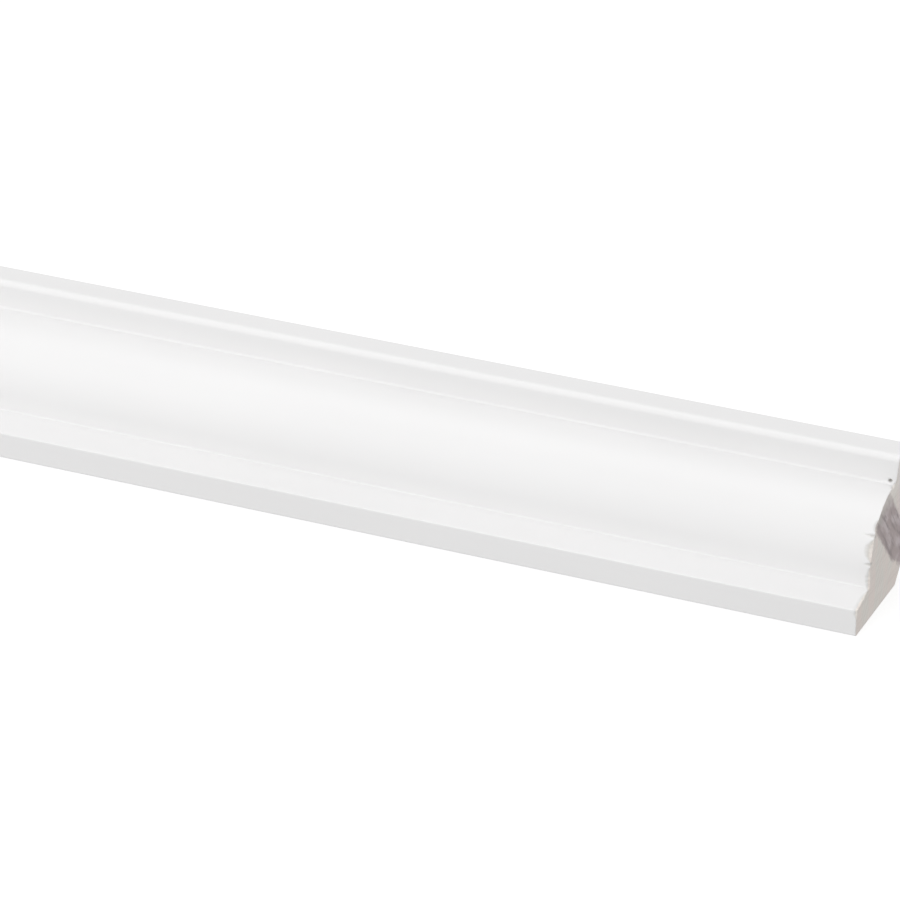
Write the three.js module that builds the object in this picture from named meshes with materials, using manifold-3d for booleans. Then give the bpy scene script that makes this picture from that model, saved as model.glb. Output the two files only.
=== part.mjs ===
// A length of crown moulding in white-primed pine, lying on the leg that meets the ceiling.
// The section's depth runs back from the front edge to the wall leg (+Y), its height runs up from the
// ceiling leg (+Z), and the moulding runs along X. The sawn end at +X has small tear-outs in its front arris
// and a pit beside it.

import * as THREE from 'three';
import { mergeVertices } from 'three/addons/utils/BufferGeometryUtils.js';
import Module from 'manifold-3d';

// Driving dimensions, in millimetres and degrees
const LENGTH = 320;
const SECTION_DEPTH = 40;
const SECTION_HEIGHT = 45;
const CEILING_LEG = 34.2; // width of the flat that lies on the ceiling, before the relieved back corner
const FRONT_EDGE = 8.6; // height at which the upright front edge would meet the ledge
const LEDGE_SLOPE = 12; // rise of the ledge above the front edge
const COVE_RADIUS = 0.6; // hollow between the ledge and the upright below the ovolo
const OVOLO_SETBACK = 10.56; // depth of that upright
const OVOLO_SPRINGING = 15.7; // height at which the ovolo springs from it
const OVOLO_RADIUS = 19.9;
const RISER_DEPTH = 30.4; // depth of the upright fillet above the ovolo
const QUIRK_ROUND = 0.8; // hollow of the primer-filled corner between the ovolo and the upright fillet
const FOOT_ROUND = 0.3; // eased arrises, from the foot of the front edge to the top fillet
const LEDGE_ROUND = 0.4;
const TOP_ROUND = 2;
const ARC_SEGMENTS = 8; // half the number of facets in each round stretch

// Tear-outs along the grain in the sawn end's front arris: the ovolo angle is counted up from its springing
const OVOLO_TEARS = [
  { angle: 32.8, length: 3.6, width: 1.6, bite: 0.6 },
  { angle: 7.8, length: 2.2, width: 1.7, bite: 0.7 },
];
// A pit in the upright fillet, near the sawn end
const PIT = { setback: 1.8, height: 36.8, width: 1.3, depth: 0.8 };
const CUTTER_SIDES = 6;
const CUTTER_OVERRUN = 1; // how far a cutter stands out past the face that it enters

// Places on the section that follow from the driving dimensions
const slope = THREE.MathUtils.degToRad(LEDGE_SLOPE);
const ledgeHeight = (depth) => FRONT_EDGE + depth * Math.tan(slope);
const ledgeRoundCentre = new THREE.Vector2(LEDGE_ROUND, 0);
ledgeRoundCentre.y = ledgeHeight(LEDGE_ROUND) - LEDGE_ROUND / Math.cos(slope);
const coveCentre = new THREE.Vector2(OVOLO_SETBACK - COVE_RADIUS, 0);
coveCentre.y = ledgeHeight(coveCentre.x) + COVE_RADIUS / Math.cos(slope);
const ovoloCentre = new THREE.Vector2(OVOLO_SETBACK + OVOLO_RADIUS, OVOLO_SPRINGING);
const quirkAngle = Math.acos((ovoloCentre.x - RISER_DEPTH + QUIRK_ROUND) / (OVOLO_RADIUS + QUIRK_ROUND));

// The outward direction of the ovolo's face, and a point on that face or beyond it
const ovoloNormal = (angle) => new THREE.Vector2(-Math.cos(angle), Math.sin(angle));
const ovoloPoint = (angle, beyond = 0) =>
  ovoloNormal(angle).multiplyScalar(OVOLO_RADIUS + beyond).add(ovoloCentre);
const quirkCentre = ovoloPoint(quirkAngle, QUIRK_ROUND);

// The section, drawn anticlockwise from the ceiling leg, up the wall leg and down the moulded face
function mouldingSection() {
  const section = new THREE.Shape();
  section.moveTo(FOOT_ROUND, 0);
  section.lineTo(CEILING_LEG, 0);
  section.lineTo(SECTION_DEPTH, SECTION_DEPTH - CEILING_LEG);
  section.lineTo(SECTION_DEPTH, SECTION_HEIGHT);
  section.absarc(RISER_DEPTH + TOP_ROUND, SECTION_HEIGHT - TOP_ROUND, TOP_ROUND, Math.PI / 2, Math.PI);
  section.absarc(quirkCentre.x, quirkCentre.y, QUIRK_ROUND, 0, -quirkAngle, true);
  section.absarc(ovoloCentre.x, ovoloCentre.y, OVOLO_RADIUS, Math.PI - quirkAngle, Math.PI);
  section.absarc(coveCentre.x, coveCentre.y, COVE_RADIUS, 0, slope - Math.PI / 2, true);
  section.absarc(ledgeRoundCentre.x, ledgeRoundCentre.y, LEDGE_ROUND, Math.PI / 2 + slope, Math.PI);
  section.absarc(FOOT_ROUND, FOOT_ROUND, FOOT_ROUND, Math.PI, 1.5 * Math.PI);
  return section;
}

// A tapered cutter along the grain: its base stands outside the sawn end, and its tip lies in the face
function tearCutter(place, normal, { length, width, bite }) {
  const reach = length + CUTTER_OVERRUN;
  const cutter = new THREE.ConeGeometry(1, reach, CUTTER_SIDES);
  cutter.rotateX(-Math.PI / 2);
  cutter.scale(bite, width / 2, 1);
  cutter.rotateZ(normal.angle());
  cutter.translate(place.x, place.y, LENGTH + CUTTER_OVERRUN - reach / 2);
  return cutter;
}

// A cone whose tip lies in the wood behind the upright fillet
function pitCutter({ setback, height, width, depth }) {
  const reach = depth + CUTTER_OVERRUN;
  const cutter = new THREE.ConeGeometry(((width / 2) * reach) / depth, reach, CUTTER_SIDES);
  cutter.rotateZ(-Math.PI / 2);
  cutter.translate(RISER_DEPTH + depth - reach / 2, height, LENGTH - setback);
  return cutter;
}

const wasm = await Module();
wasm.setup();

// A closed geometry as a solid that can be cut
function toSolid(geometry) {
  const bare = geometry.clone();
  bare.deleteAttribute('normal');
  bare.deleteAttribute('uv');
  const merged = mergeVertices(bare);
  const triVerts = new Uint32Array(merged.index.array);
  const vertProperties = merged.attributes.position.array;
  return new wasm.Manifold(new wasm.Mesh({ numProp: 3, vertProperties, triVerts }));
}

// A solid back as a flat-shaded geometry
function toGeometry(solid) {
  const { vertProperties, triVerts } = solid.getMesh();
  const indexed = new THREE.BufferGeometry();
  indexed.setAttribute('position', new THREE.BufferAttribute(vertProperties, 3));
  indexed.setIndex(new THREE.BufferAttribute(triVerts, 1));
  const flat = indexed.toNonIndexed();
  flat.computeVertexNormals();
  return flat;
}

// The run of moulding with the tear-outs and the pit taken from its sawn end, in the section's own axes
function mouldingRun() {
  const run = new THREE.ExtrudeGeometry(mouldingSection(), {
    depth: LENGTH,
    bevelEnabled: false,
    curveSegments: ARC_SEGMENTS,
  });
  let solid = toSolid(run);
  for (const tear of OVOLO_TEARS) {
    const angle = THREE.MathUtils.degToRad(tear.angle);
    solid = solid.subtract(toSolid(tearCutter(ovoloPoint(angle), ovoloNormal(angle), tear)));
  }
  solid = solid.subtract(toSolid(pitCutter(PIT)));
  return toGeometry(solid).translate(-SECTION_DEPTH / 2, 0, -LENGTH / 2);
}

const primedPine = new THREE.MeshStandardMaterial({ color: 0xf1f0ef, roughness: 0.5, metalness: 0 });
const moulding = new THREE.Mesh(mouldingRun(), primedPine);
moulding.name = 'crown_moulding';
moulding.rotation.set(Math.PI / 2, Math.PI / 2, 0); // depth to +Y, height to +Z, run to +X

const part = new THREE.Group();
part.add(moulding);

export default part;
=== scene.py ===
"""A length of crown moulding in white-primed pine, modelled and finished on its CAD frame.

The moulding lies on its ceiling leg and runs along X. Its section is measured as depth, back from the
front edge, and height, up from the ceiling leg. The end at +X is the sawn one with the knot and the tears.
"""

import math
from collections import namedtuple

import bmesh
import bpy
from bpy.props import FloatProperty, FloatVectorProperty, PointerProperty
from mathutils import Euler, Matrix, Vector, noise
from mathutils.kdtree import KDTree


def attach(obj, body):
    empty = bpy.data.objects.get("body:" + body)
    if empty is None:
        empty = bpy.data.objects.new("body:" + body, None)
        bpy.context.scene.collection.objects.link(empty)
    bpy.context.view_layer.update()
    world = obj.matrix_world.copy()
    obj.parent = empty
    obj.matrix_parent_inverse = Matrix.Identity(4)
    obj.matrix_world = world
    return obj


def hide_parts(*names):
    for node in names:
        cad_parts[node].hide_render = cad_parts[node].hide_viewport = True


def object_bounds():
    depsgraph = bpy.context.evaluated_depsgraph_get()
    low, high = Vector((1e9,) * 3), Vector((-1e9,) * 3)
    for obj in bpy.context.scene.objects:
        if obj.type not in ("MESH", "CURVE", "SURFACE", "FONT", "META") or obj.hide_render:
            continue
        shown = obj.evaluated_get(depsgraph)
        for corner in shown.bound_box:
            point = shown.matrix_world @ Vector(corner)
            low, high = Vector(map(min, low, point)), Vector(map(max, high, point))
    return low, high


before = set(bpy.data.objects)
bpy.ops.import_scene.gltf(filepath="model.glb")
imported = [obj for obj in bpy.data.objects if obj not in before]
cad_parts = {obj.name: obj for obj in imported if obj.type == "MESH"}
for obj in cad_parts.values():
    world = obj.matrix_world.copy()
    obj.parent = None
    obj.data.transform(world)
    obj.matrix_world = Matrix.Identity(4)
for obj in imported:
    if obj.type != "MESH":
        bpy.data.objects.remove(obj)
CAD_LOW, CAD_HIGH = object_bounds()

bl_info = {
    "name": "Crown Moulding Length",
    "version": (1, 0, 0),
    "blender": (4, 5, 0),
    "location": "3D View > Sidebar > Moulding",
    "description": "Models and finishes a length of primed pine crown moulding",
    "category": "Object",
}

MM = 0.001
NODE = "crown_moulding"
BODY = "root"
PIECE = "primed_moulding"

# How closely the mesh is divided
FACE_STEP = 0.3 * MM  # across the moulded face
PLAIN_STEP = 2.0 * MM  # across the two legs and the back corner
END_STEP = 0.25 * MM  # along the moulding, next to an end
MIDDLE_STEP = 9.0 * MM  # along the moulding, away from the ends
STEP_GROWTH = 1.25
SAWN_GRID = 0.3 * MM  # across the sawn end
FAR_GRID = 1.0 * MM
GRID_SNAP = 0.01 * MM  # a vertex this close to a grid line counts as on it
ARC_STEPS = 4  # the fewest in an arc
SAWN_REACH = 6.0 * MM  # how far the damage runs in from the sawn end
FAR_REACH = 1.0 * MM

# What the saw and the grain did to the sawn end; places are depth and height, in millimetres
Tear = namedtuple("Tear", "place length half_width depth")
Chip = namedtuple("Chip", "place half_width length depth bare")  # bare: how much of the fibre shows
Pit = namedtuple("Pit", "place setback radius depth")
TEARS = (
    Tear((13.73, 26.5), 3.6, 0.8, 0.6),
    Tear((10.74, 18.4), 2.2, 0.85, 0.7),
)
CHIPS = (
    Chip((0.3, 7.8), 2.4, 0.9, 0.5, 0.3),
    Chip((4.6, 9.58), 5.0, 1.3, 0.35, 0.25),
    Chip((10.56, 13.8), 4.0, 1.3, 0.6, 0.4),
    Chip((11.76, 22.5), 3.6, 2.7, 0.55, 1.0),
    Chip((15.67, 29.0), 2.2, 1.1, 0.5, 0.4),
    Chip((29.4, 35.6), 1.6, 0.9, 0.5, 0.3),
)
CHIP_LENGTH = (0.9, 0.3)  # a chip's length and depth against those named: on average, and how far they waver
CHIP_DEPTH = (0.85, 0.5)
CHIP_WAVES = 1.3  # waves of a chip's ragged edge to a millimetre
TEAR_ROOM = 3.0  # how far in from the face a tear draws the end, against its depth
TEAR_BARE = 0.8
PIT = Pit((30.4, 36.8), 1.76, 0.65, 0.6)
FILLET_PROUD = 1.2  # how far the top of the fillet stands out past the rest of the sawn end
FILLET_FOOT = 35.8  # height from which it does so
FILLET_WIDTH = 9.6  # width over which that dies away to the back
ARRIS_LOSS = 0.16  # how far every arris of a sawn end is broken away, on average
ARRIS_SPREAD = 0.8  # how much of that wavers
ARRIS_LEAST = 0.04
ARRIS_WAVES = 0.9  # waves of the broken arris to a millimetre
ARRIS_BARE = 0.5
END_SHIFT = 7.0  # sets the noise of the two ends apart
ON_END = 0.001  # a vertex nearer to the end than this lies on the sawn face
SAW_MARK_GAP = 1.3
SAW_MARK_DEPTH = 0.01
SAW_MARK_TILT = math.radians(68)
SAW_MARK_SWAY = 1.6
SWAY_WAVES, PATCH_WAVES, FUZZ_WAVES = 0.15, 0.3, 2.0  # to a millimetre of the sawn face
KNOT_CENTRE = (26.85, 23.7)
KNOT_REACH = (24.0, 6.7)  # down its slope to the back, and across it
KNOT_SLOPE = math.radians(50)
KNOT_TAPER = 0.35  # how fast it narrows up to the moulded face, against down to the back
Fade = namedtuple("Fade", "low high most")  # heights between which a colour grows paler, and by how much
KNOT_FADE = Fade(28.5, 33.5, 0.6)
# The wood grows paler towards the top of the sawn end: partly its own colour, partly a painted highlight for
# the brighter light there
WOOD_PALING_AND_HIGHLIGHT = Fade(31.0, 36.0, 0.9)
PITH = (58.0, -24.0)
RING_GAP = 2.3
RING_WARP = 5.0

# Noise in the finishes, as waves to a metre along X, Y and Z
PRIMER_GRAIN = (9.0, 620.0, 620.0)
PRIMER_CLOUD = (14.0, 55.0, 55.0)
PRIMER_PEEL = (900.0, 900.0, 900.0)
TORN_STRANDS = (250.0, 2200.0, 2200.0)
WOOD_PORES = (2600.0, 2600.0, 2600.0)
SAW_STREAKS = (60.0, 60.0, 1400.0)
WARP_WAVES = (90.0, 90.0, 90.0)
ROSY_STREAKS = (60.0, 230.0, 60.0)
ROSY_TILT = math.radians(-25)
KNOT_EDGE = (320.0, 160.0, 420.0)
KNOT_PATCHES = (150.0, 130.0, 260.0)
KNOT_STREAKS = (150.0, 90.0, 520.0)

# Tones, gloss and bumps of the finishes
THIN_COAT = 0.35  # how much of the grain shows through the primer on the two legs
CLOUD_TONE = 0.985  # how pale the primer's cloudy patches are, against the rest
PIT_SHADE = 0.5  # how dark the painted shade in the pit is, against torn fibre
GLOSS_SPREAD = 0.12  # how much the primer's roughness varies
TORN_ROUGHNESS = 0.8
SAWN_ROUGHNESS = 0.82
SAWN_BARE = 0.85  # how much of the torn fibre's colour shows on the sawn faces
PRIMER_BUMP = {"Strength": 0.35, "Distance": 0.03 * MM}
SAWN_BUMP = {"Strength": 0.2, "Distance": 0.05 * MM}

# Material slots of the mesh, and the angle past which an edge shows as sharp
FACE_FINISH, LEG_FINISH, SAWN_FINISH = range(3)
SHARP_ANGLE = math.radians(38)
LEG_TURN = 0.5  # how squarely a face looks to the back, or down, to be part of a leg

# Floor, light and camera, in metres
FLOOR_REACH = 4.0
FLOOR_GAP = 0.05 * MM
FLOOR_ROUGHNESS = 0.9
HORIZON = (0.4, 0.6)  # shares of the way up the sky between which the light from below gives way
LAMP_DISTANCE = 1.7
Lamp = namedtuple("Lamp", "name direction size")
LAMPS = (
    Lamp("overhead", Vector((-0.1, -0.1, 1.0)), 1.3),
    Lamp("fill", Vector((-0.35, -0.95, 0.25)), 2.4),
)
VIEW_AIM = Vector((21.33, 0.0, 23.17)) * MM

Outline = namedtuple("Outline", "points normals travels tree")


class SectionSizes(bpy.types.PropertyGroup):
    """Sizes of the moulding's section"""

    ceiling_leg: FloatProperty(
        name="Ceiling leg", description="Width of the flat that lies on the ceiling",
        default=34.2 * MM, unit="LENGTH")
    front_edge: FloatProperty(
        name="Front edge", description="Height of the upright front edge",
        default=8.6 * MM, unit="LENGTH")
    ledge_slope: FloatProperty(
        name="Ledge slope", description="Rise of the ledge above the front edge",
        default=math.radians(12), subtype="ANGLE")
    ovolo_setback: FloatProperty(
        name="Ovolo setback", description="Depth of the short upright below the quarter round",
        default=10.56 * MM, unit="LENGTH")
    ovolo_springing: FloatProperty(
        name="Ovolo springing", description="Height at which the quarter round springs from the upright",
        default=15.7 * MM, unit="LENGTH")
    ovolo_radius: FloatProperty(
        name="Ovolo radius", description="Radius of the quarter round",
        default=19.9 * MM, unit="LENGTH")
    cove_radius: FloatProperty(
        name="Cove radius", description="Radius of the hollow between the ledge and the upright",
        default=0.6 * MM, unit="LENGTH")
    riser_depth: FloatProperty(
        name="Riser depth", description="Depth of the upright fillet above the ovolo",
        default=30.4 * MM, unit="LENGTH")
    quirk_round: FloatProperty(
        name="Quirk round", description="Hollow of the primer-filled corner above the ovolo",
        default=0.8 * MM, unit="LENGTH")
    foot_round: FloatProperty(
        name="Foot round", description="Radius of the arris at the foot of the front edge",
        default=0.3 * MM, unit="LENGTH")
    ledge_round: FloatProperty(
        name="Ledge round", description="Radius of the arris between the front edge and the ledge",
        default=0.4 * MM, unit="LENGTH")
    top_round: FloatProperty(
        name="Top round", description="Radius of the arris above the upright fillet",
        default=2.0 * MM, unit="LENGTH")


class FinishSettings(bpy.types.PropertyGroup):
    """Colours and roughness of the primer and the bare pine"""

    primer: FloatVectorProperty(
        name="Primer", description="Colour of the white primer",
        default=(0.80, 0.796, 0.796), subtype="COLOR", min=0.0, max=1.0)
    primer_roughness: FloatProperty(
        name="Primer roughness", description="Roughness of the satin primer",
        default=0.40, subtype="FACTOR", min=0.0, max=1.0)
    early_wood: FloatVectorProperty(
        name="Early wood", description="Pale part of a growth ring in the sawn ends",
        default=(0.88, 0.85, 0.80), subtype="COLOR", min=0.0, max=1.0)
    late_wood: FloatVectorProperty(
        name="Late wood", description="Dark part of a growth ring in the sawn ends",
        default=(0.83, 0.785, 0.735), subtype="COLOR", min=0.0, max=1.0)
    # Paler wood at the top of the sawn end, partly a painted highlight
    pale_wood_and_highlight: FloatVectorProperty(
        name="Pale wood", description="The wood at the top of the sawn ends",
        default=(0.97, 0.93, 0.88), subtype="COLOR", min=0.0, max=1.0)
    rosy_wood: FloatVectorProperty(
        name="Rosy wood", description="Streaks of redder wood in the sawn ends",
        default=(0.90, 0.815, 0.765), subtype="COLOR", min=0.0, max=1.0)
    knot: FloatVectorProperty(
        name="Knot", description="Body of the knot in the sawn end",
        default=(0.50, 0.43, 0.425), subtype="COLOR", min=0.0, max=1.0)
    knot_pale: FloatVectorProperty(
        name="Pale knot", description="Pale patches in the knot",
        default=(0.64, 0.57, 0.575), subtype="COLOR", min=0.0, max=1.0)
    knot_dark: FloatVectorProperty(
        name="Dark knot", description="Dark streaks in the knot",
        default=(0.35, 0.305, 0.305), subtype="COLOR", min=0.0, max=1.0)
    knot_outer: FloatVectorProperty(
        name="Outer knot", description="The knot where it meets the moulded face",
        default=(0.45, 0.44, 0.40), subtype="COLOR", min=0.0, max=1.0)
    torn_fibre: FloatVectorProperty(
        name="Torn fibre", description="Bare fibres where the arris of the sawn end is torn",
        default=(0.64, 0.62, 0.585), subtype="COLOR", min=0.0, max=1.0)


class StageSettings(bpy.types.PropertyGroup):
    """Floor, light and camera"""

    floor: FloatVectorProperty(
        name="Floor", description="Colour of the floor",
        default=(0.35, 0.35, 0.35), subtype="COLOR", min=0.0, max=1.0)
    floor_glow: FloatProperty(
        name="Floor glow", description="Light that comes through the floor, which softens the shadow on it",
        default=0.72, min=0.0, max=1.0)
    ambient: FloatProperty(
        name="Ambient light", description="Strength of the even light from all round",
        default=0.75, min=0.0, max=1.0)
    ambient_below: FloatProperty(
        name="Light from below", description="Strength of the even light from under the horizon",
        default=0.51, min=0.0, max=1.0)
    overhead_power: FloatProperty(
        name="Overhead power", description="Power of the soft light above",
        default=6.8, unit="POWER", min=0.0)
    fill_power: FloatProperty(
        name="Fill power", description="Power of the broad soft light in front",
        default=17.6, unit="POWER", min=0.0)
    lens: FloatProperty(
        name="Lens", description="Focal length of the camera",
        default=212.24, subtype="DISTANCE_CAMERA")
    azimuth: FloatProperty(
        name="View azimuth", description="How far the camera stands round towards the sawn end",
        default=math.radians(23.74), subtype="ANGLE")
    elevation: FloatProperty(
        name="View elevation", description="How far the camera looks down",
        default=math.radians(27.381), subtype="ANGLE")
    distance: FloatProperty(
        name="View distance", description="Distance from the camera to the point it looks at",
        default=1610.36 * MM, unit="LENGTH")


class Pen:
    """Draws a closed outline in a bmesh, in the plane across the moulding at x."""

    def __init__(self, bm, x, depth, height):
        self.bm = bm
        self.x = x
        self.first = bm.verts.new(self.place(depth, height))
        self.tip = self.first

    def place(self, depth, height):
        return Vector((self.x, CAD_LOW.y + depth, height))

    def line(self, depth, height, step):
        gap = self.place(depth, height) - self.tip.co
        pieces = max(1, round(gap.length / step))
        for _ in range(pieces):
            made = bmesh.ops.extrude_vert_indiv(self.bm, verts=[self.tip])
            self.tip = made["verts"][0]
            self.tip.co += gap / pieces

    def arc(self, depth, height, angle, step):
        centre = self.place(depth, height)
        pieces = max(ARC_STEPS, round(abs(angle) * (self.tip.co - centre).length / step))
        made = bmesh.ops.spin(
            self.bm, geom=[self.tip], cent=centre, axis=(1, 0, 0), angle=angle, steps=pieces)
        self.tip = next(v for v in made["geom_last"] if isinstance(v, bmesh.types.BMVert))

    def close(self):
        bmesh.ops.weld_verts(self.bm, targetmap={self.tip: self.first})
        return bmesh.ops.edgeloop_fill(self.bm, edges=self.bm.edges[:])["faces"][0]


def ledge_height(sizes, depth):
    """Height of the sloped ledge at a depth"""
    return sizes.front_edge + depth * math.tan(sizes.ledge_slope)


def ovolo_centre(sizes):
    """Centre of the quarter round"""
    return Vector((sizes.ovolo_setback + sizes.ovolo_radius, sizes.ovolo_springing))


def cove_centre(sizes):
    """Centre of the hollow between the ledge and the upright below the ovolo"""
    depth = sizes.ovolo_setback - sizes.cove_radius
    return Vector((depth, ledge_height(sizes, depth) + sizes.cove_radius / math.cos(sizes.ledge_slope)))


def quirk_angle(sizes):
    """Angle up from the springing at which the ovolo ends in the quirk's hollow"""
    gap = ovolo_centre(sizes).x - sizes.riser_depth + sizes.quirk_round
    return math.acos(gap / (sizes.ovolo_radius + sizes.quirk_round))


def quirk_centre(sizes):
    """Centre of the quirk's hollow"""
    angle = quirk_angle(sizes)
    reach = sizes.ovolo_radius + sizes.quirk_round
    return ovolo_centre(sizes) + reach * Vector((-math.cos(angle), math.sin(angle)))


def draw_section(bm, x, sizes):
    """Draws the section anticlockwise from the ceiling leg, up the wall leg and down the moulded face."""
    depth = CAD_HIGH.y - CAD_LOW.y
    height = CAD_HIGH.z - CAD_LOW.z
    slope = sizes.ledge_slope
    ovolo = ovolo_centre(sizes)
    cove = cove_centre(sizes)
    quirk = quirk_centre(sizes)
    arris = sizes.ledge_round
    arris_height = ledge_height(sizes, arris) - arris / math.cos(slope)
    pen = Pen(bm, x, sizes.foot_round, 0.0)
    pen.line(sizes.ceiling_leg, 0.0, PLAIN_STEP)
    pen.line(depth, depth - sizes.ceiling_leg, PLAIN_STEP)
    pen.line(depth, height, PLAIN_STEP)
    pen.line(sizes.riser_depth + sizes.top_round, height, FACE_STEP)
    pen.arc(sizes.riser_depth + sizes.top_round, height - sizes.top_round, math.pi / 2, FACE_STEP)
    pen.line(sizes.riser_depth, quirk.y, FACE_STEP)
    pen.arc(quirk.x, quirk.y, -quirk_angle(sizes), FACE_STEP)
    pen.arc(ovolo.x, ovolo.y, quirk_angle(sizes), FACE_STEP)
    pen.line(sizes.ovolo_setback, cove.y, FACE_STEP)
    pen.arc(cove.x, cove.y, slope - math.pi / 2, FACE_STEP)
    pen.line(arris * (1 - math.sin(slope)), arris_height + arris * math.cos(slope), FACE_STEP)
    pen.arc(arris, arris_height, math.pi / 2 - slope, FACE_STEP)
    pen.line(0.0, sizes.foot_round, FACE_STEP)
    pen.arc(sizes.foot_round, sizes.foot_round, math.pi / 2, FACE_STEP)
    return pen.close()


def read_outline(face):
    """The section's points in order, with the outward direction and the distance travelled at each."""
    points = [Vector((v.co.y - CAD_LOW.y, v.co.z)) for v in face.verts]
    normals = []
    travels = [0.0]
    tree = KDTree(len(points))
    for index, point in enumerate(points):
        along = points[(index + 1) % len(points)] - points[index - 1]
        normals.append(Vector((along.y, -along.x)).normalized())
        tree.insert((point.x, point.y, 0.0), index)
        if index:
            travels.append(travels[-1] + (point - points[index - 1]).length)
    tree.balance()
    return Outline(points, normals, travels, tree)


def setbacks(fine_reach, total):
    """Distances in from an end: close together at first, then ever further apart, up to total."""
    places = [0.0]
    step = END_STEP
    while places[-1] + step < total:
        places.append(places[-1] + step)
        if places[-1] > fine_reach:
            step = min(step * STEP_GROWTH, MIDDLE_STEP)
    return places


def run_out(bm, face):
    """Extrudes the section from the far end to the sawn end, and returns the face at the sawn end."""
    middle = (CAD_LOW.x + CAD_HIGH.x) / 2
    half = CAD_HIGH.x - middle
    places = [CAD_LOW.x + gap for gap in setbacks(FAR_REACH, half)[1:]]
    places += [CAD_HIGH.x - gap for gap in reversed(setbacks(SAWN_REACH, half))]
    for x in places:
        made = bmesh.ops.extrude_face_region(bm, geom=[face, *face.edges, *face.verts])["geom"]
        face = next(f for f in made if isinstance(f, bmesh.types.BMFace))
        for vert in face.verts:
            vert.co.x = x
    return face


def cut_grid(bm, face, spacing):
    """Cuts an end face into a grid, and returns its cells."""
    cells = [face]
    for axis, low, high in (
        (Vector((0, 1, 0)), CAD_LOW.y, CAD_HIGH.y),
        (Vector((0, 0, 1)), CAD_LOW.z, CAD_HIGH.z),
    ):
        cuts = round((high - low) / spacing)
        for cut in range(1, cuts):
            place = low + (high - low) * cut / cuts
            edges = {edge for cell in cells for edge in cell.edges}
            verts = {vert for cell in cells for vert in cell.verts}
            made = bmesh.ops.bisect_plane(
                bm, geom=[*cells, *edges, *verts], dist=GRID_SNAP, plane_co=axis * place, plane_no=axis)
            cells = [f for f in made["geom"] if isinstance(f, bmesh.types.BMFace)]
    return cells


def bump_at(gap, half_width):
    """1 on a line, falling away roundly to 0 at half_width from it"""
    return max(0.0, 1.0 - (gap / half_width) ** 2)


def tear_depth(tear, setback, gap):
    """How deep a tapered tear along the grain is, at a distance in from the end and to the side of it"""
    left = 1.0 - setback / tear.length
    if left <= 0.0:
        return 0.0
    return tear.depth * left * max(0.0, 1.0 - gap / (tear.half_width * left))


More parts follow.
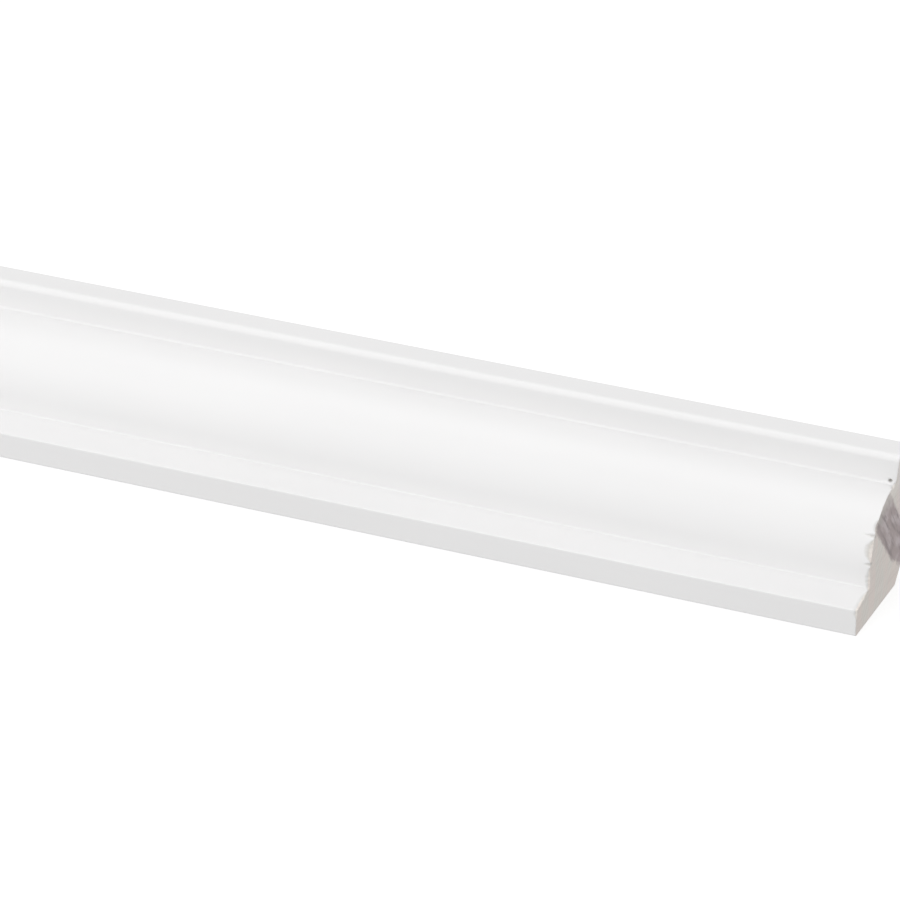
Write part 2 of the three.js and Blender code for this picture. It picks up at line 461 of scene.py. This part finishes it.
class SawnEnd:
    """Breaks the arris of one end, tears its fibres and marks its face, in millimetres."""

    def __init__(self, bm, outline, inward, damaged):
        self.torn = bm.verts.layers.float["torn"]
        self.hollow = bm.verts.layers.float["hollow"]
        self.outline = outline
        self.inward = inward
        self.damaged = damaged
        self.tears = [(tear, self.travel(tear.place)) for tear in TEARS if damaged]
        self.chips = [(chip, self.travel(chip.place)) for chip in CHIPS if damaged]
        self.pit_travel = self.travel(PIT.place)

    def travel(self, place):
        """Distance round the section to the point of it that is nearest to a place"""
        _, index, _ = self.outline.tree.find((place[0] * MM, place[1] * MM, 0.0))
        return self.outline.travels[index] / MM

    def shape(self, vert, end):
        """Moves one vertex near the end"""
        point = Vector((vert.co.y - CAD_LOW.y, vert.co.z))
        _, index, below = self.outline.tree.find((point.x, point.y, 0.0))
        normal = self.outline.normals[index]
        travel = self.outline.travels[index] / MM
        below /= MM
        setback = abs(vert.co.x - end) / MM
        sink, retreat, bare = self.broken(point / MM, travel, setback, below)
        groove, groove_bare = self.groove(travel, setback, below)
        pit = self.pit(travel, setback)
        sink += groove + PIT.depth * pit
        retreat -= self.proud(point / MM, setback)
        vert[self.torn] = max(bare, groove_bare)
        # Marks the pit, which the primer material darkens as a painted shade inside the hole
        vert[self.hollow] = min(1.0, 2.0 * pit)
        vert.co.y -= normal.x * sink * MM
        vert.co.z -= normal.y * sink * MM
        vert.co.x += self.inward * retreat * MM

    def broken(self, point, travel, setback, below):
        """How far a point sinks into the wood and lies back from the end, and how bare it is"""
        length, depth, bare = self.loss(travel)
        on_end = setback < ON_END
        share = below / depth if on_end else setback / length
        if share < 1.0:
            sink = depth * (1.0 + share) / 2 - below if on_end else depth * (1.0 - share) / 2
            return sink, length * (1.0 - share) / 2, bare * (1.0 - share)
        relief = min(1.0, below - depth) * self.face_relief(point) if on_end else 0.0
        return 0.0, relief, 0.0

    def loss(self, travel):
        """Length and depth of what is broken off the arris at a place, and how bare it is"""
        rough = noise.noise((travel * ARRIS_WAVES, self.inward * END_SHIFT, 0.0))
        ragged = noise.noise((travel * CHIP_WAVES, self.inward * END_SHIFT, 4.0))
        length = ARRIS_LOSS * (1.0 + ARRIS_SPREAD * rough)
        depth = length
        bare = ARRIS_BARE
        for chip, place in self.chips:
            share = bump_at(travel - place, chip.half_width)
            length += chip.length * share * (CHIP_LENGTH[0] + CHIP_LENGTH[1] * ragged)
            depth += chip.depth * share * (CHIP_DEPTH[0] + CHIP_DEPTH[1] * rough)
            bare += (chip.bare - ARRIS_BARE) * min(1.0, 2.0 * share)
        return max(ARRIS_LEAST, length), max(ARRIS_LEAST, depth), bare

    def face_relief(self, point):
        """How far the sawn face lies in from the end at a point, for its saw marks and rough grain"""
        across = point.x * math.cos(SAW_MARK_TILT) + point.y * math.sin(SAW_MARK_TILT)
        sway = SAW_MARK_SWAY * noise.noise((point.x * SWAY_WAVES, point.y * SWAY_WAVES, 1.0))
        marks = 0.5 + 0.5 * math.sin(2 * math.pi * (across + sway) / SAW_MARK_GAP)
        patchy = 0.5 + 0.5 * noise.noise((point.x * PATCH_WAVES, point.y * PATCH_WAVES, 3.0))
        fuzz = 0.5 + 0.5 * noise.noise((point.x * FUZZ_WAVES, point.y * FUZZ_WAVES, 2.0))
        return SAW_MARK_DEPTH * (marks * patchy + fuzz)

    def groove(self, travel, setback, below):
        """How far the tears draw a point in, and how bare the fibre is there"""
        depths = [tear_depth(tear, setback, abs(travel - place)) for tear, place in self.tears]
        deepest = max(depths, default=0.0)
        room = TEAR_ROOM * deepest
        if below >= room:
            return 0.0, 0.0
        return deepest * (1.0 - below / room), min(TEAR_BARE, 2.0 * deepest)

    def pit(self, travel, setback):
        """How far a point lies in the pit, from 0 at its rim to 1 in its middle"""
        if not self.damaged:
            return 0.0
        return bump_at(math.hypot(setback - PIT.setback, travel - self.pit_travel), PIT.radius)

    def proud(self, point, setback):
        """How far the end of the fillet stands out at a point"""
        if not self.damaged:
            return 0.0
        rise = max(0.0, point.y - FILLET_FOOT) / (CAD_HIGH.z / MM - FILLET_FOOT)
        front = min(1.0, ((CAD_HIGH.y - CAD_LOW.y) / MM - point.x) / FILLET_WIDTH)
        return FILLET_PROUD * front * math.sqrt(rise) * (1.0 - setback * MM / SAWN_REACH)


def saw_ends(bm, outline):
    """Shapes the vertices near both ends."""
    for end, inward, reach, damaged in (
        (CAD_HIGH.x, -1, SAWN_REACH, True),
        (CAD_LOW.x, 1, FAR_REACH, False),
    ):
        sawn = SawnEnd(bm, outline, inward, damaged)
        for vert in [v for v in bm.verts if abs(v.co.x - end) < reach]:
            sawn.shape(vert, end)


def add_node(tree, kind, inputs=None, **settings):
    """Adds a shader node; an input given as a socket is linked, any other is set."""
    made = tree.nodes.new(kind)
    for name, value in settings.items():
        setattr(made, name, value)
    for name, value in (inputs or {}).items():
        if isinstance(value, bpy.types.NodeSocket):
            tree.links.new(value, made.inputs[name])
        else:
            made.inputs[name].default_value = value
    return made


def math_node(tree, operation, first, second=0.0, third=0.0):
    """A Math node's result"""
    return add_node(tree, "ShaderNodeMath", {0: first, 1: second, 2: third}, operation=operation).outputs[0]


def vector_node(tree, operation, first, second=(0.0, 0.0, 0.0)):
    """A Vector Math node"""
    return add_node(tree, "ShaderNodeVectorMath", {0: first, 1: second}, operation=operation)


def blend_colour(tree, share, first, second):
    """A colour between two, by a share"""
    made = tree.nodes.new("ShaderNodeMix")
    made.data_type = "RGBA"
    for socket, value in ((made.inputs[0], share), (made.inputs[6], first), (made.inputs[7], second)):
        if isinstance(value, bpy.types.NodeSocket):
            tree.links.new(value, socket)
        elif socket.type == "RGBA":
            socket.default_value = (*value, 1.0)
        else:
            socket.default_value = value
    return made.outputs[2]


def ramp(tree, share, *stops):
    """A value that runs through stops of (place, value)"""
    made = add_node(tree, "ShaderNodeValToRGB", {"Fac": share})
    elements = made.color_ramp.elements
    while len(elements) < len(stops):
        elements.new(0.5)
    for element, (place, value) in zip(elements, stops):
        element.position = place
        element.color = (value, value, value, 1.0)
    return made.outputs["Color"]


def pattern(tree, coords, scale, detail=3.0, turn=0.0, roughness=0.55):
    """Noise at a scale of its own along X, Y and Z, in cycles per metre, turned about X"""
    settings = {"Vector": coords, "Scale": scale, "Rotation": (turn, 0.0, 0.0)}
    place = add_node(tree, "ShaderNodeMapping", settings)
    settings = {"Vector": place.outputs[0], "Scale": 1.0, "Detail": detail, "Roughness": roughness}
    return add_node(tree, "ShaderNodeTexNoise", settings).outputs["Fac"]


def weighted_sum(tree, first, first_share, second, second_share):
    """The sum of two values, each times its share"""
    first = math_node(tree, "MULTIPLY", first, first_share)
    return math_node(tree, "MULTIPLY_ADD", second, second_share, first)


def add_bump(tree, shader, height, settings):
    """Gives a shader a bump"""
    bump = add_node(tree, "ShaderNodeBump", {"Height": height, **settings})
    tree.links.new(bump.outputs[0], shader.inputs["Normal"])


def attribute(tree, name):
    """A value stored on the mesh"""
    return add_node(tree, "ShaderNodeAttribute", attribute_name=name).outputs["Fac"]


def new_material(name):
    """An empty material, with its node tree, shader and Object coordinates"""
    material = bpy.data.materials.new(name)
    material.use_nodes = True
    tree = material.node_tree
    shader = tree.nodes["Principled BSDF"]
    coords = add_node(tree, "ShaderNodeTexCoord").outputs["Object"]
    return material, tree, shader, coords


def shade(colour, factor):
    """A colour made darker or paler"""
    return tuple(min(1.0, channel * factor) for channel in colour)


def primer_material(name, finish, bare):
    """Satin primer over planed pine, with torn fibre and a painted shade in the pit; bare is how much of the
    wood shows through.
    """
    material, tree, shader, coords = new_material(name)
    grain = pattern(tree, coords, PRIMER_GRAIN)
    cloud = pattern(tree, coords, PRIMER_CLOUD, detail=2.0)
    peel = pattern(tree, coords, PRIMER_PEEL, detail=2.0)
    clear = ramp(tree, cloud, (0.3, 0.0), (0.7, 1.0))
    tone = blend_colour(tree, clear, shade(finish.primer, CLOUD_TONE), finish.primer)
    show = math_node(tree, "MULTIPLY", ramp(tree, grain, (0.45, 0.0), (0.75, 1.0)), bare)
    tone = blend_colour(tree, show, tone, finish.early_wood)
    strands = ramp(tree, pattern(tree, coords, TORN_STRANDS), (0.25, 0.7), (0.7, 1.0))
    torn = math_node(tree, "MULTIPLY", attribute(tree, "torn"), strands)
    tone = blend_colour(tree, torn, tone, finish.torn_fibre)
    # Painted shade in the pit: the primer turns darker there, standing in for the shade inside the hole
    tone = blend_colour(tree, attribute(tree, "hollow"), tone, shade(finish.torn_fibre, PIT_SHADE))
    tree.links.new(tone, shader.inputs["Base Color"])
    smoothest = finish.primer_roughness - GLOSS_SPREAD / 2
    gloss = math_node(tree, "MULTIPLY_ADD", cloud, GLOSS_SPREAD, smoothest)
    gloss = math_node(tree, "MAXIMUM", gloss, math_node(tree, "MULTIPLY", torn, TORN_ROUGHNESS))
    tree.links.new(gloss, shader.inputs["Roughness"])
    add_bump(tree, shader, weighted_sum(tree, grain, 0.6, peel, 0.4), PRIMER_BUMP)
    return material


def sawn_material(name, finish):
    """Bare end grain with faint growth rings and saw marks, and the knot at the sawn end."""
    material, tree, shader, coords = new_material(name)
    tone = end_grain(tree, coords, finish)
    inside, heart = knot_colour(tree, coords, finish)
    tone = blend_colour(tree, inside, tone, heart)
    torn = math_node(tree, "MULTIPLY", attribute(tree, "torn"), SAWN_BARE)
    tone = blend_colour(tree, torn, tone, finish.torn_fibre)
    pores = pattern(tree, coords, WOOD_PORES, detail=2.0)
    saw = pattern(tree, coords, SAW_STREAKS, turn=math.pi / 2 - SAW_MARK_TILT)
    specks = ramp(tree, math_node(tree, "MULTIPLY", pores, saw), (0.16, 0.15), (0.26, 0.0))
    tone = blend_colour(tree, specks, tone, finish.knot)
    tree.links.new(tone, shader.inputs["Base Color"])
    shader.inputs["Roughness"].default_value = SAWN_ROUGHNESS
    add_bump(tree, shader, weighted_sum(tree, saw, 0.6, pores, 0.4), SAWN_BUMP)
    return material


def end_grain(tree, coords, finish):
    """Colour of the bare wood: growth rings about the pith, redder streaks, and a paler top that is partly a
    painted highlight for the brighter light there
    """
    flat = vector_node(tree, "MULTIPLY", coords, (0.0, 1.0, 1.0)).outputs[0]
    pith = (0.0, CAD_LOW.y + PITH[0] * MM, PITH[1] * MM)
    warp = pattern(tree, coords, WARP_WAVES, detail=4.0)
    spread = vector_node(tree, "DISTANCE", flat, pith).outputs["Value"]
    rings = math_node(tree, "MULTIPLY_ADD", warp, RING_WARP * MM, spread)
    rings = math_node(tree, "FRACT", math_node(tree, "DIVIDE", rings, RING_GAP * MM))
    rings = ramp(tree, rings, (0.0, 0.25), (0.12, 0.0), (0.5, 0.25), (0.88, 1.0), (0.97, 0.85))
    tone = blend_colour(tree, rings, finish.early_wood, finish.late_wood)
    streaks = pattern(tree, coords, ROSY_STREAKS, detail=2.0, turn=ROSY_TILT)
    tone = blend_colour(tree, ramp(tree, streaks, (0.42, 0.0), (0.62, 0.85)), tone, finish.rosy_wood)
    # Paler towards the top: partly a painted highlight for the light on the upper end
    return blend_colour(tree, pale_share(tree, coords, WOOD_PALING_AND_HIGHLIGHT), tone, finish.pale_wood_and_highlight)


def pale_share(tree, coords, fade):
    """How much paler a colour of the sawn end is at a height; on the bare wood this is partly a painted
    highlight
    """
    height = add_node(tree, "ShaderNodeSeparateXYZ", {0: coords}).outputs["Z"]
    settings = {"Value": height, "From Min": fade.low * MM, "From Max": fade.high * MM, "To Max": fade.most}
    return add_node(tree, "ShaderNodeMapRange", settings).outputs[0]


def knot_colour(tree, coords, finish):
    """How far a point lies in the knot, and the knot's colour there"""
    centre = (0.0, CAD_LOW.y + KNOT_CENTRE[0] * MM, KNOT_CENTRE[1] * MM)
    reach = (0.0, 1.0 / (KNOT_REACH[0] * MM), 1.0 / (KNOT_REACH[1] * MM))
    offset = vector_node(tree, "SUBTRACT", coords, centre).outputs[0]
    settings = {"Vector": offset, "Rotation": (KNOT_SLOPE, 0.0, 0.0)}
    turned = add_node(tree, "ShaderNodeMapping", settings).outputs[0]
    place = vector_node(tree, "MULTIPLY", turned, reach).outputs[0]
    place = add_node(tree, "ShaderNodeSeparateXYZ", {0: place})
    along = place.outputs["Y"]
    taper = math_node(tree, "MAXIMUM", along, math_node(tree, "MULTIPLY", along, -KNOT_TAPER))
    place = add_node(tree, "ShaderNodeCombineXYZ", {"Y": taper, "Z": place.outputs["Z"]}).outputs[0]
    edge = vector_node(tree, "LENGTH", place).outputs["Value"]
    ragged = pattern(tree, turned, KNOT_EDGE, detail=4.0, roughness=0.6)
    edge = math_node(tree, "MULTIPLY_ADD", ragged, 0.5, edge)
    patches = pattern(tree, turned, KNOT_PATCHES)
    streaks = pattern(tree, turned, KNOT_STREAKS)
    heart = blend_colour(tree, ramp(tree, patches, (0.46, 0.0), (0.62, 1.0)), finish.knot, finish.knot_pale)
    outer = math_node(tree, "MULTIPLY_ADD", patches, 0.5, math_node(tree, "MULTIPLY", along, -1.0))
    heart = blend_colour(tree, ramp(tree, outer, (0.55, 0.0), (0.8, 0.85)), heart, finish.knot_outer)
    heart = blend_colour(tree, ramp(tree, streaks, (0.52, 0.0), (0.66, 0.8)), heart, finish.knot_dark)
    heart = blend_colour(tree, pale_share(tree, coords, KNOT_FADE), heart, finish.early_wood)
    edge = ramp(tree, math_node(tree, "MULTIPLY", edge, 0.5), (0.58, 1.0), (0.66, 0.0))
    run = add_node(tree, "ShaderNodeSeparateXYZ", {0: coords}).outputs["X"]
    at_sawn_end = math_node(tree, "GREATER_THAN", run, 0.0)
    return math_node(tree, "MULTIPLY", edge, at_sawn_end), heart


def share_out_materials(mesh, finish):
    """Gives the moulded face, the two legs and the sawn ends their materials."""
    for material in (
        primer_material("white_primer", finish, bare=0.0),
        primer_material("thin_primer", finish, bare=THIN_COAT),
        sawn_material("sawn_pine", finish),
    ):
        mesh.materials.append(material)


class MOULDING_OT_make_length(bpy.types.Operator):
    """Model the length of moulding with its sawn ends, and give it its finish"""

    bl_idname = "moulding.make_length"
    bl_label = "Make Moulding Length"

    def execute(self, context):
        sizes = context.scene.moulding_section
        bm = bmesh.new()
        bm.verts.layers.float.new("torn")
        # hollow marks the pit, for its painted shade
        bm.verts.layers.float.new("hollow")
        far_end = draw_section(bm, CAD_LOW.x, sizes)
        sawn_end = run_out(bm, far_end)
        bmesh.ops.recalc_face_normals(bm, faces=bm.faces[:])
        outline = read_outline(sawn_end)
        for face in bm.faces:
            face.smooth = True
            back = face.normal.y > LEG_TURN or face.normal.z < -LEG_TURN
            face.material_index = LEG_FINISH if back else FACE_FINISH
        for cap, spacing in ((sawn_end, SAWN_GRID), (far_end, FAR_GRID)):
            cap.material_index = SAWN_FINISH
            cut_grid(bm, cap, spacing)
        saw_ends(bm, outline)
        mesh = bpy.data.meshes.new(PIECE)
        bm.to_mesh(mesh)
        bm.free()
        mesh.set_sharp_from_angle(angle=SHARP_ANGLE)
        share_out_materials(mesh, context.scene.moulding_finish)
        piece = bpy.data.objects.new(PIECE, mesh)
        context.scene.collection.objects.link(piece)
        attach(piece, BODY)
        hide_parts(NODE)
        return {"FINISHED"}


class MOULDING_OT_set_stage(bpy.types.Operator):
    """Set up the floor, the light and the camera"""

    bl_idname = "moulding.set_stage"
    bl_label = "Set Stage"

    def execute(self, context):
        stage = context.scene.moulding_stage
        self.lay_floor(context.scene, stage)
        self.light(context.scene, stage)
        self.point_camera(context.scene, stage)
        return {"FINISHED"}

    def lay_floor(self, scene, stage):
        mesh = bpy.data.meshes.new("floor")
        bm = bmesh.new()
        bmesh.ops.create_grid(bm, x_segments=1, y_segments=1, size=FLOOR_REACH)
        bmesh.ops.translate(bm, verts=bm.verts[:], vec=(0.0, 0.0, CAD_LOW.z - FLOOR_GAP))
        bm.to_mesh(mesh)
        bm.free()
        material, _, shader, _ = new_material("pale_floor")
        shader.inputs["Base Color"].default_value = (*stage.floor, 1.0)
        shader.inputs["Emission Color"].default_value = (1.0, 1.0, 1.0, 1.0)
        shader.inputs["Emission Strength"].default_value = stage.floor_glow
        shader.inputs["Roughness"].default_value = FLOOR_ROUGHNESS
        shader.inputs["Specular IOR Level"].default_value = 0.0
        mesh.materials.append(material)
        floor = bpy.data.objects.new("floor", mesh)
        floor.visible_diffuse = False
        floor.visible_glossy = False
        scene.collection.objects.link(floor)

    def light(self, scene, stage):
        scene.view_settings.view_transform = "Standard"
        world = bpy.data.worlds.new("studio")
        world.use_nodes = True
        tree = world.node_tree
        coords = add_node(tree, "ShaderNodeTexCoord").outputs["Generated"]
        height = add_node(tree, "ShaderNodeSeparateXYZ", {0: coords}).outputs["Z"]
        height = math_node(tree, "MULTIPLY_ADD", height, 0.5, 0.5)
        glow = ramp(tree, height, (HORIZON[0], stage.ambient_below), (HORIZON[1], stage.ambient))
        tree.links.new(glow, tree.nodes["Background"].inputs["Color"])
        scene.world = world
        for name, direction, size in LAMPS:
            lamp = bpy.data.lights.new(name, "AREA")
            lamp.shape = "SQUARE"
            lamp.size = size
            lamp.energy = getattr(stage, f"{name}_power")
            light = bpy.data.objects.new(name, lamp)
            light.location = direction.normalized() * LAMP_DISTANCE
            light.rotation_euler = direction.to_track_quat("Z", "Y").to_euler()
            scene.collection.objects.link(light)

    def point_camera(self, scene, stage):
        lens = bpy.data.cameras.new("camera")
        lens.lens = stage.lens
        camera = bpy.data.objects.new("camera", lens)
        turn = Euler((math.pi / 2 - stage.elevation, 0.0, stage.azimuth))
        camera.rotation_euler = turn
        camera.location = VIEW_AIM + turn.to_matrix() @ Vector((0.0, 0.0, stage.distance))
        scene.collection.objects.link(camera)
        scene.camera = camera


class MOULDING_PT_sidebar(bpy.types.Panel):
    """Sizes, finish and stage of the moulding"""

    bl_label = "Crown Moulding Length"
    bl_space_type = "VIEW_3D"
    bl_region_type = "UI"
    bl_category = "Moulding"

    def draw(self, context):
        scene = context.scene
        for settings in (scene.moulding_section, scene.moulding_finish, scene.moulding_stage):
            column = self.layout.column(align=True)
            for name in settings.__annotations__:
                column.prop(settings, name)
        self.layout.operator(MOULDING_OT_make_length.bl_idname)
        self.layout.operator(MOULDING_OT_set_stage.bl_idname)


CLASSES = (
    SectionSizes,
    FinishSettings,
    StageSettings,
    MOULDING_OT_make_length,
    MOULDING_OT_set_stage,
    MOULDING_PT_sidebar,
)


def register():
    for made in CLASSES:
        bpy.utils.register_class(made)
    bpy.types.Scene.moulding_section = PointerProperty(type=SectionSizes)
    bpy.types.Scene.moulding_finish = PointerProperty(type=FinishSettings)
    bpy.types.Scene.moulding_stage = PointerProperty(type=StageSettings)


def unregister():
    del bpy.types.Scene.moulding_stage
    del bpy.types.Scene.moulding_finish
    del bpy.types.Scene.moulding_section
    for made in reversed(CLASSES):
        bpy.utils.unregister_class(made)


def main():
    register()
    bpy.ops.moulding.make_length()
    bpy.ops.moulding.set_stage()


if __name__ == "__main__":
    main()
